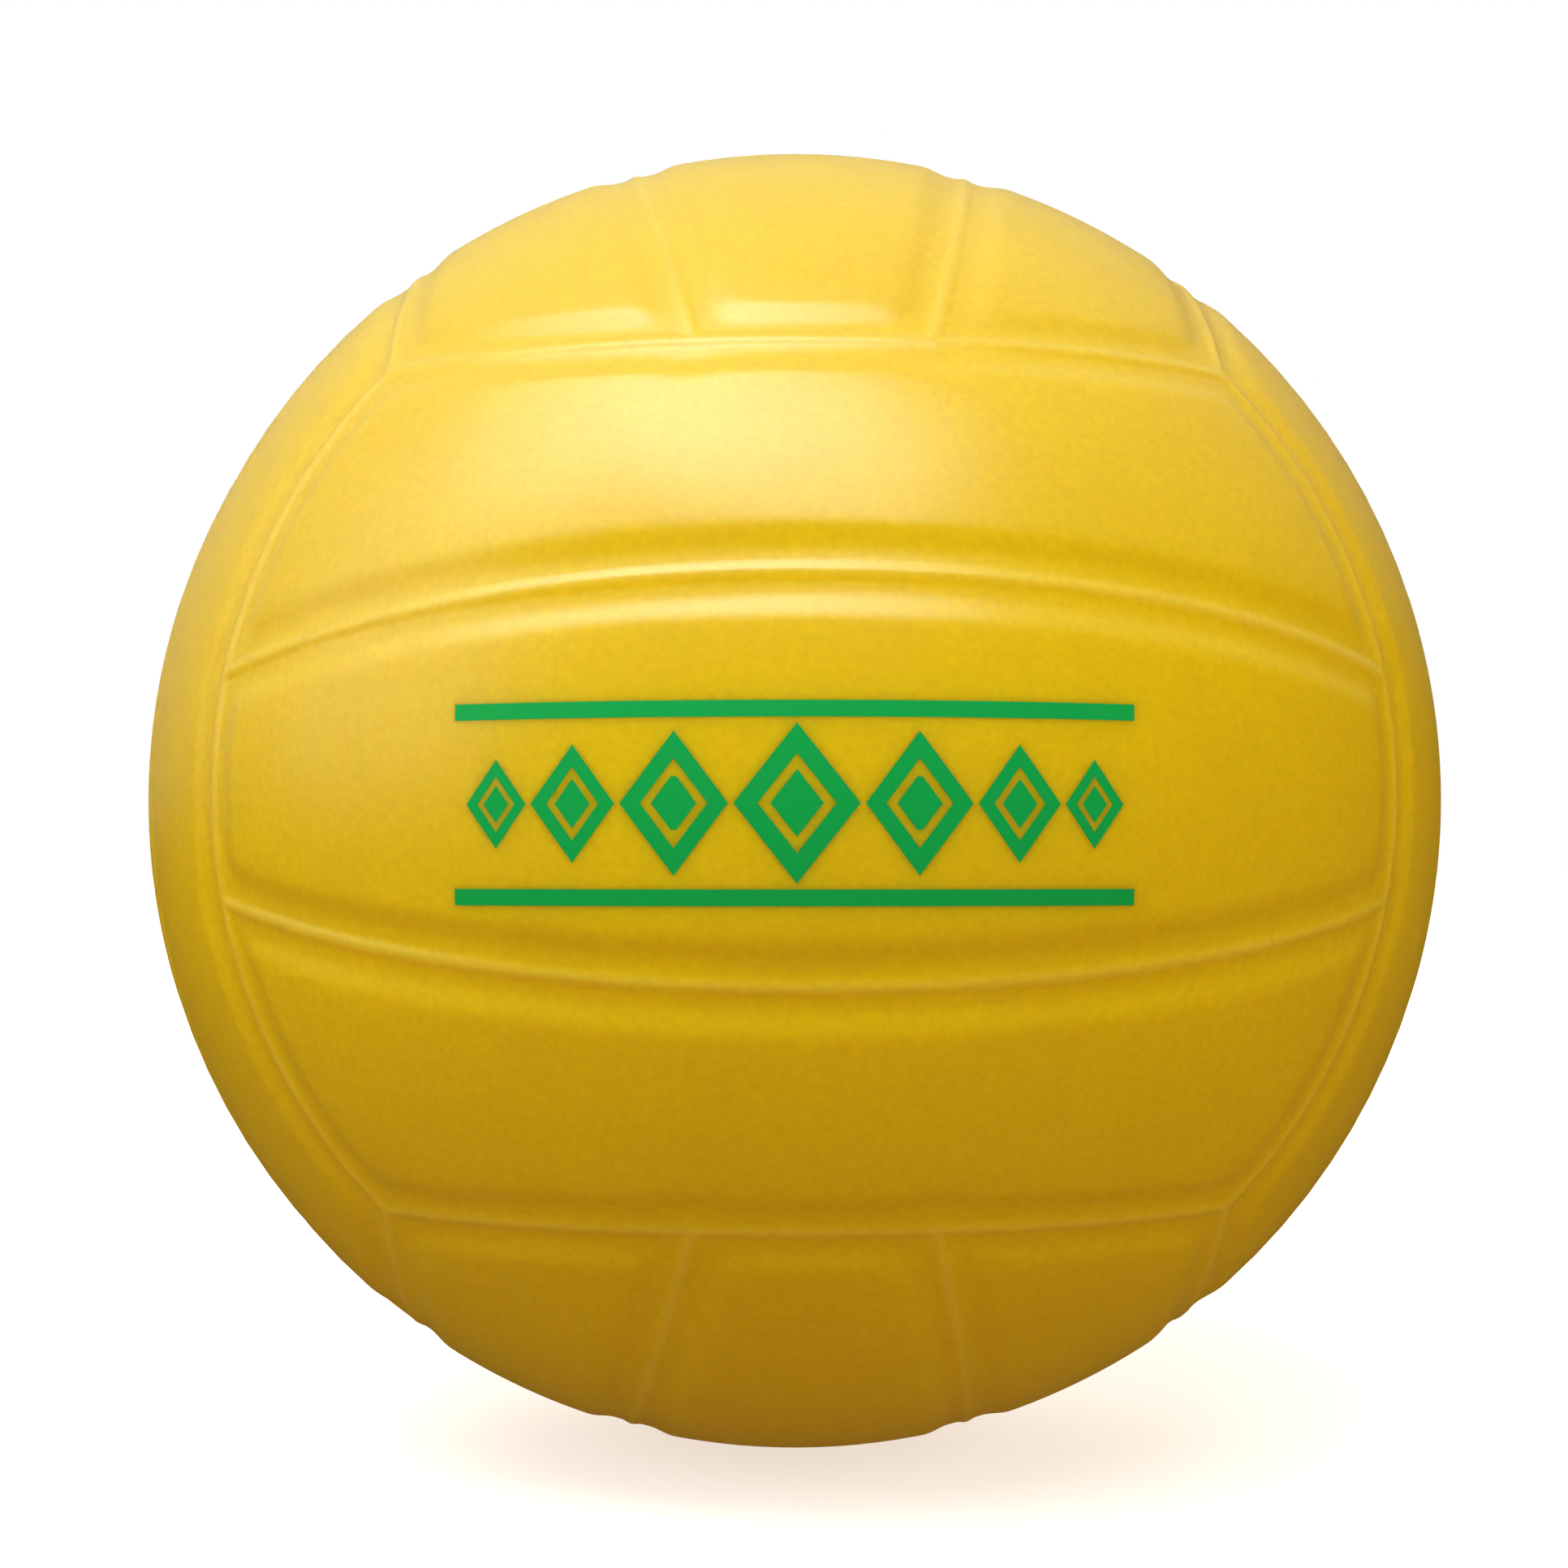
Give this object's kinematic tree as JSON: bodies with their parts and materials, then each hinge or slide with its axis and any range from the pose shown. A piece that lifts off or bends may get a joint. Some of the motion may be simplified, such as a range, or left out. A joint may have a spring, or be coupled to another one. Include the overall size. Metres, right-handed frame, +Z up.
{
  "type": "inflatable play ball",
  "caption": "Small inflatable volleyball moulded in yellow vinyl, with shallow seam channels, a fine raised bead in each channel and a flush needle valve.",
  "frame": {"origin": "centre of the ball", "axes": "+Z up as pictured, -Y out of the middle strip of the front face, +Y out of the valve, which lies at the middle of the opposite face; +X to the right of the front view, along the front face's strips"},
  "size_m": [0.127, 0.1266, 0.127],
  "materials": {
    "skin_vinyl": "satin",
    "housing_vinyl": "satin",
    "core_rubber": "matte"
  },
  "bodies": {
    "root": {"ball_skin": "skin_vinyl", "valve_housing": "housing_vinyl", "valve_core": "core_rubber"}
  },
  "joints": []
}
